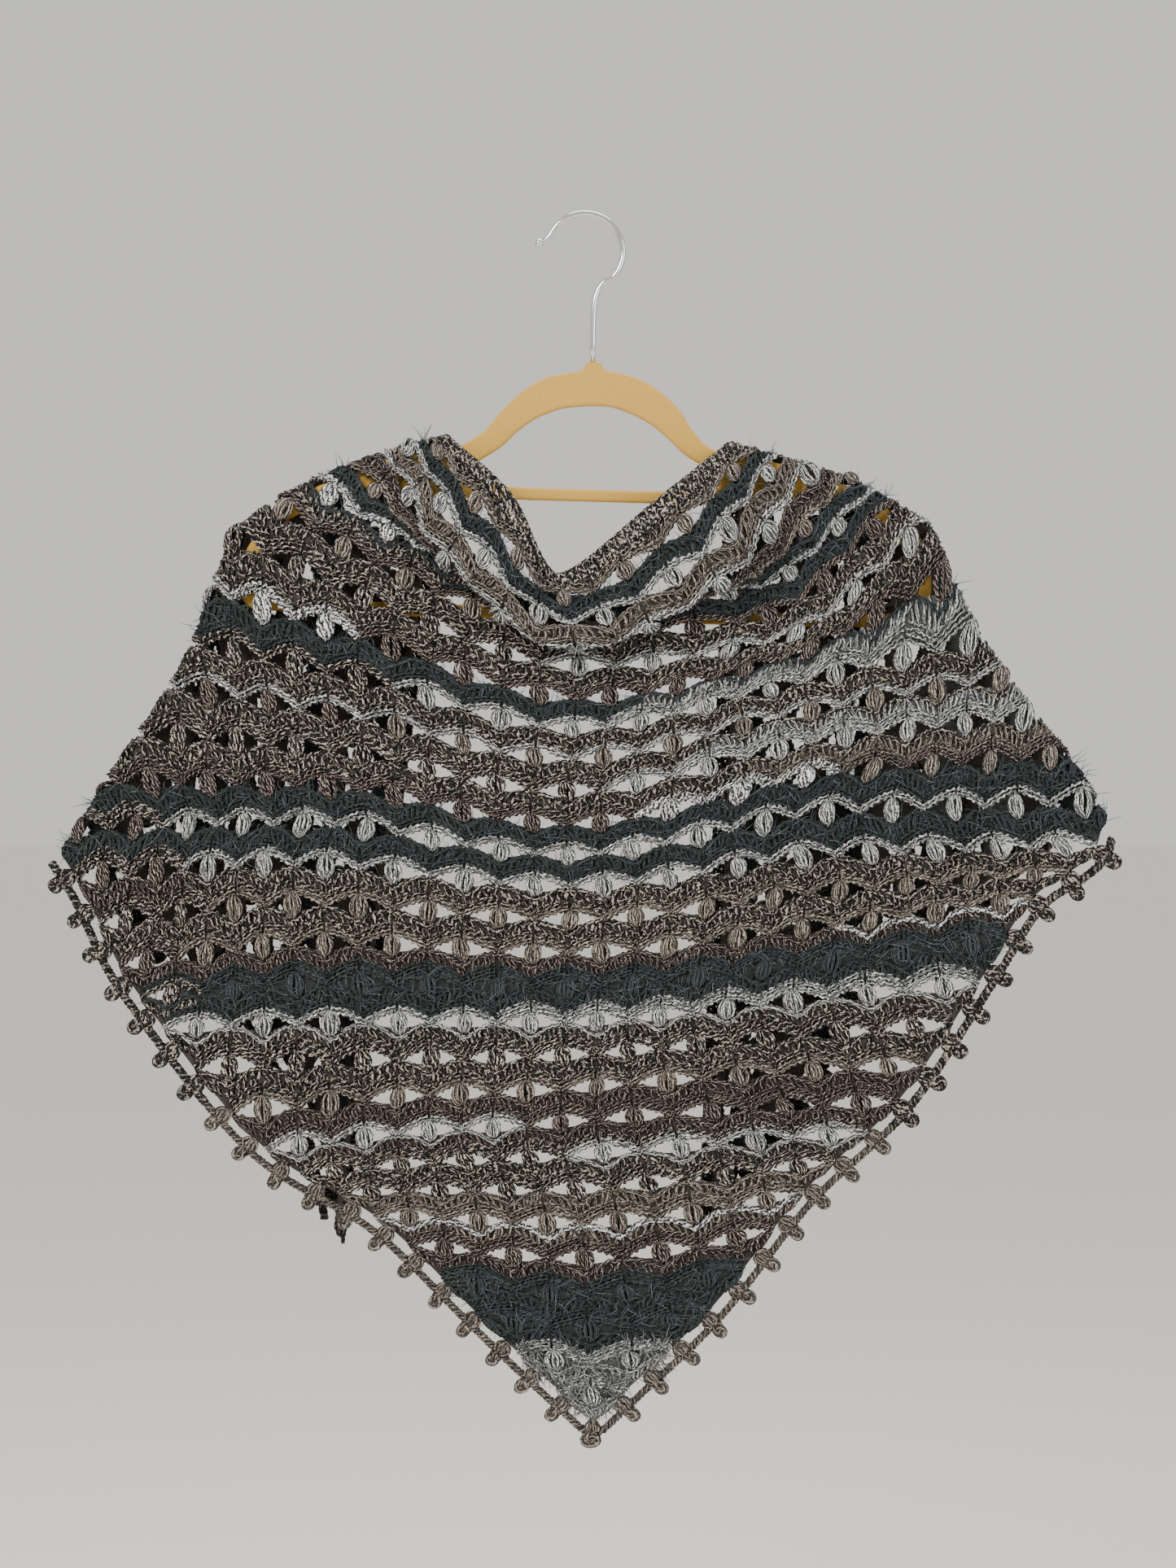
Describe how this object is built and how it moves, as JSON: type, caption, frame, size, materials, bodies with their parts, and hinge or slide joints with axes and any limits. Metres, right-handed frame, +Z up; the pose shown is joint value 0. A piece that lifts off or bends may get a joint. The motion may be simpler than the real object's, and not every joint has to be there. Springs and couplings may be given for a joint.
{
  "type": "crocheted shawl on a hanger",
  "caption": "Triangular crocheted lace shawl with puff stitches, a picot edging and a cowl front, draped over a slim flocked hanger with a wire hook.",
  "frame": {"origin": "the inside top of the hook's round, where a rail or peg holds it", "axes": "+Z up, -Y towards the shawl's front, +X to the right as it is seen from the front"},
  "size_m": [0.6764, 0.0655, 0.7793],
  "materials": {
    "hook_wire": "polished",
    "velvet_flock": "mustard flock",
    "shawl_yarn": "crocheted mixed yarns in taupe, light grey, grey-green mohair and brown marl",
    "marl_yarn": "coarse black and beige marl",
    "edging_yarn": "taupe and marl cord with picots"
  },
  "bodies": {
    "root": {"hook_wire": "hook_wire", "hanger_body": "velvet_flock", "front_drape": "shawl_yarn", "left_wing": "shawl_yarn", "right_wing": "shawl_yarn", "neck_border": "marl_yarn", "left_wing_border": "marl_yarn", "right_wing_border": "marl_yarn", "front_edging": "edging_yarn", "left_wing_edging": "marl_yarn", "right_wing_edging": "marl_yarn"}
  },
  "joints": []
}
